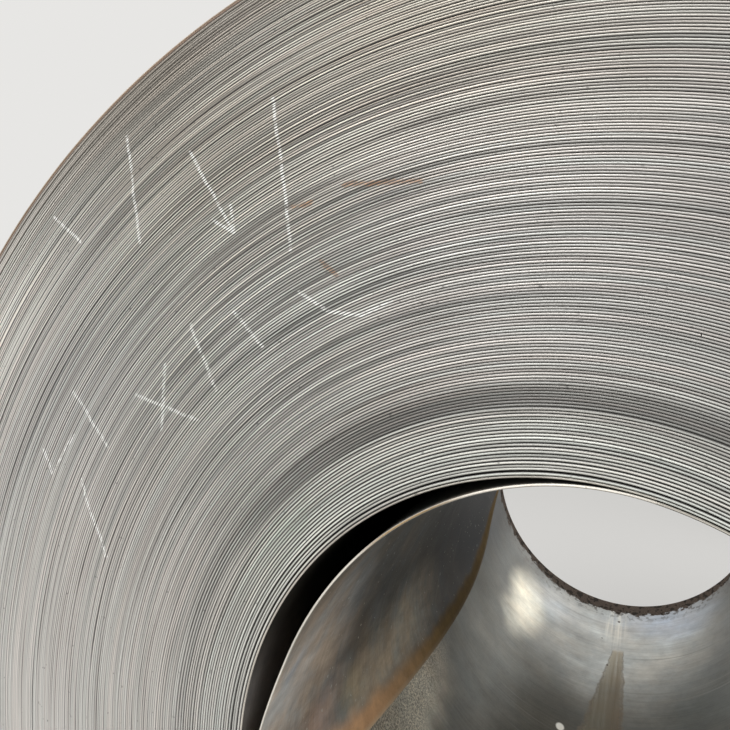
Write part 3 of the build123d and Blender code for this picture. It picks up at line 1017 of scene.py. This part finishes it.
def seen_directly(tree):
    """One where the camera sees a thing, also by reflection or through glass, and nothing where it only lights."""
    path = tree.nodes.new("ShaderNodeLightPath").outputs
    seen = maths(tree, "MAXIMUM", path["Is Camera Ray"], path["Is Transmission Ray"])
    return maths(tree, "MAXIMUM", seen, path["Is Glossy Ray"])


def keep(piece):
    """Puts a piece on the object's one body, in place of the plain solid."""
    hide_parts(NODE)
    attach(piece, "root")


class COIL_OT_inner_lap(bpy.types.Operator):
    """Makes the first lap, which is the wall of the eye, and the loose end that has sprung away from it"""

    bl_idname = "coil.inner_lap"
    bl_label = "Inner lap and loose end"

    loose_rows: IntProperty(name="Loose rows", description="Rows of faces along the loose end", default=132)
    wall_rows: IntProperty(name="Wall rows", description="Rows of faces round the first lap", default=300)
    columns: IntProperty(name="Columns", description="Columns of faces across the strip", default=40)

    def execute(self, context):
        s = sizes()
        curve = np.polyfit(*zip(*TONGUE_END), len(TONGUE_END) - 1)
        spacing = np.linspace(0, 1, self.columns + 1)
        middle = s.edge_round + (STRIP_WIDTH - 2 * s.edge_round) * spacing
        top = [s.edge_round, s.strip_thickness - s.edge_round]
        # The section as (height over the inner face, place across, crest), round the strip and back
        section = [(0, across, 0) for across in middle] + [(high, STRIP_WIDTH, 1) for high in top]
        section += [(s.strip_thickness, across, 0) for across in middle[::-1]] + [(high, 0, 1) for high in top[::-1]]
        places, marks = [], {"turn": [], "crest": [], "across": [], "from_end": []}
        for row in range(self.loose_rows + self.wall_rows + 1):
            turn = max(row - self.loose_rows, 0) / self.wall_rows
            back = NEAR_END + wound_shift(turn)
            for high, across, crest in section:
                end = math.radians(np.polyval(curve, across / STRIP_WIDTH))
                if row < self.loose_rows:
                    angle = end + (s.root_angle - end) * row / self.loose_rows
                    radius = EYE_RADIUS - spring_at(angle) + high
                    turn = (s.root_angle - angle) / math.tau
                else:
                    angle = s.root_angle - math.tau * turn
                    radius = wound_radius(turn) + high
                for name, value in zip(marks, (turn, crest, across, (end - angle) * EYE_RADIUS)):
                    marks[name].append(value)
                places.append((radius * math.cos(angle), back + across, AXIS_HEIGHT + radius * math.sin(angle)))
        around = len(section)
        rows = self.loose_rows + self.wall_rows
        faces = [
            (row * around + spot, (row + 1) * around + spot, (row + 1) * around + (spot + 1) % around,
             row * around + (spot + 1) % around)
            for row in range(rows) for spot in range(around)]
        last = len(middle)
        pairs = [(spot, spot + 1, 2 * last - spot, 2 * last + 1 - spot) for spot in range(last + 1)]
        pairs[last] = (0, 2 * last + 1, 2 * last + 2, 2 * last + 3)
        faces += pairs
        faces += [tuple(rows * around + spot for spot in face[::-1]) for face in pairs]
        mesh = bpy.data.meshes.new("inner_lap")
        mesh.from_pydata(places, [], faces)
        for name, values in marks.items():
            mesh.attributes.new(name, "FLOAT", "POINT").data.foreach_set("value", np.array(values, np.float32))
        shell = bmesh.new()
        shell.from_mesh(mesh)
        bmesh.ops.recalc_face_normals(shell, faces=shell.faces)
        shell.to_mesh(mesh)
        shell.free()
        mesh.shade_smooth()
        mesh.set_sharp_from_angle(angle=SHARP_FOLD)
        mesh.materials.append(eye_material())
        piece = bpy.data.objects.new("inner_lap", mesh)
        context.collection.objects.link(piece)
        keep(piece)
        return {"FINISHED"}


class COIL_OT_laps(bpy.types.Operator):
    """Winds the laps whose edges make the coil's two ends"""

    bl_idname = "coil.laps"
    bl_label = "Laps"

    def execute(self, context):
        s = sizes()
        material = laps_material()
        last = s.turns - 1
        first = 1
        number = 1
        while first < last:
            keep(wind(f"laps_{number}", first, min(s.turns_per_piece, last - first), material))
            first += s.turns_per_piece
            number += 1
        return {"FINISHED"}


class COIL_OT_outer_lap(bpy.types.Operator):
    """Winds the last lap, which is the coil's outside and ends in the strip's tail"""

    bl_idname = "coil.outer_lap"
    bl_label = "Outer lap and tail"

    def execute(self, context):
        keep(wind("outer_lap", sizes().turns - 1, 1, outside_material()))
        return {"FINISHED"}


class COIL_OT_stage(bpy.types.Operator):
    """Sets the floor, the light and the camera"""

    bl_idname = "coil.stage"
    bl_label = "Floor, light and camera"

    def execute(self, context):
        scene = context.scene
        view = scene.coil_view
        scene.view_settings.view_transform = "Standard"

        floor_mesh = bpy.data.meshes.new("floor")
        corners = [(x * FLOOR_REACH, y * FLOOR_REACH, 0) for x, y in ((-1, -1), (1, -1), (1, 1), (-1, 1))]
        floor_mesh.from_pydata(corners, [], [(0, 1, 2, 3)])
        floor = bpy.data.objects.new("floor", floor_mesh)
        context.collection.objects.link(floor)
        plain = bpy.data.materials.new("Pale floor")
        plain.use_nodes = True
        tree = plain.node_tree
        shader = tree.nodes["Principled BSDF"]
        shader.inputs["Base Color"].default_value = FLOOR_COLOUR
        shader.inputs["Roughness"].default_value = FLOOR_ROUGHNESS
        shader.inputs["Emission Color"].default_value = DAYLIGHT
        tree.links.new(times(tree, seen_directly(tree), FLOOR_GLOW), shader.inputs["Emission Strength"])
        floor_mesh.materials.append(plain)

        world = bpy.data.worlds.new("Soft daylight")
        scene.world = world
        world.use_nodes = True
        tree = world.node_tree
        background = tree.nodes["Background"]
        background.inputs["Color"].default_value = DAYLIGHT
        tree.links.new(blend(tree, seen_directly(tree), WORLD_LIGHT, WORLD_SEEN), background.inputs["Strength"])

        for name, place, aim, size, energy in SOFT_LAMPS:
            lamp = bpy.data.lights.new(name, "AREA")
            lamp.shape = "RECTANGLE"
            lamp.size, lamp.size_y = size
            lamp.energy = energy
            stand = bpy.data.objects.new(name, lamp)
            stand.location = place
            stand.rotation_euler = (Vector(aim) - Vector(place)).to_track_quat("-Z", "Y").to_euler()
            context.collection.objects.link(stand)

        camera = bpy.data.objects.new("Camera", bpy.data.cameras.new("Camera"))
        camera.location = view.place
        camera.rotation_euler = Euler((math.pi / 2 + view.pitch, 0, view.heading))
        camera.data.lens = view.lens
        camera.data.shift_x, camera.data.shift_y = view.shift
        context.collection.objects.link(camera)
        scene.camera = camera
        return {"FINISHED"}


class COIL_PT_panel(bpy.types.Panel):
    """Lists the pieces of the coil, their sizes and their colours"""

    bl_idname = "COIL_PT_panel"
    bl_label = "Steel Coil"
    bl_space_type = "VIEW_3D"
    bl_region_type = "UI"
    bl_category = "Steel Coil"

    def draw(self, context):
        column = self.layout.column()
        for operator in OPERATORS:
            column.operator(operator.bl_idname)
        scene = context.scene
        for settings in (scene.coil_sizes, scene.coil_colours, scene.coil_view):
            box = self.layout.box()
            for name in settings.__annotations__:
                box.prop(settings, name)


OPERATORS = (COIL_OT_inner_lap, COIL_OT_laps, COIL_OT_outer_lap, COIL_OT_stage)
CLASSES = (CoilSizes, CoilColours, CoilView, *OPERATORS, COIL_PT_panel)


def register():
    for cls in CLASSES:
        bpy.utils.register_class(cls)
    bpy.types.Scene.coil_sizes = PointerProperty(type=CoilSizes)
    bpy.types.Scene.coil_colours = PointerProperty(type=CoilColours)
    bpy.types.Scene.coil_view = PointerProperty(type=CoilView)


def unregister():
    del bpy.types.Scene.coil_view
    del bpy.types.Scene.coil_colours
    del bpy.types.Scene.coil_sizes
    for cls in reversed(CLASSES):
        bpy.utils.unregister_class(cls)


def main():
    register()
    bpy.ops.coil.inner_lap()
    bpy.ops.coil.laps()
    bpy.ops.coil.outer_lap()
    bpy.ops.coil.stage()


if __name__ == "__main__":
    main()
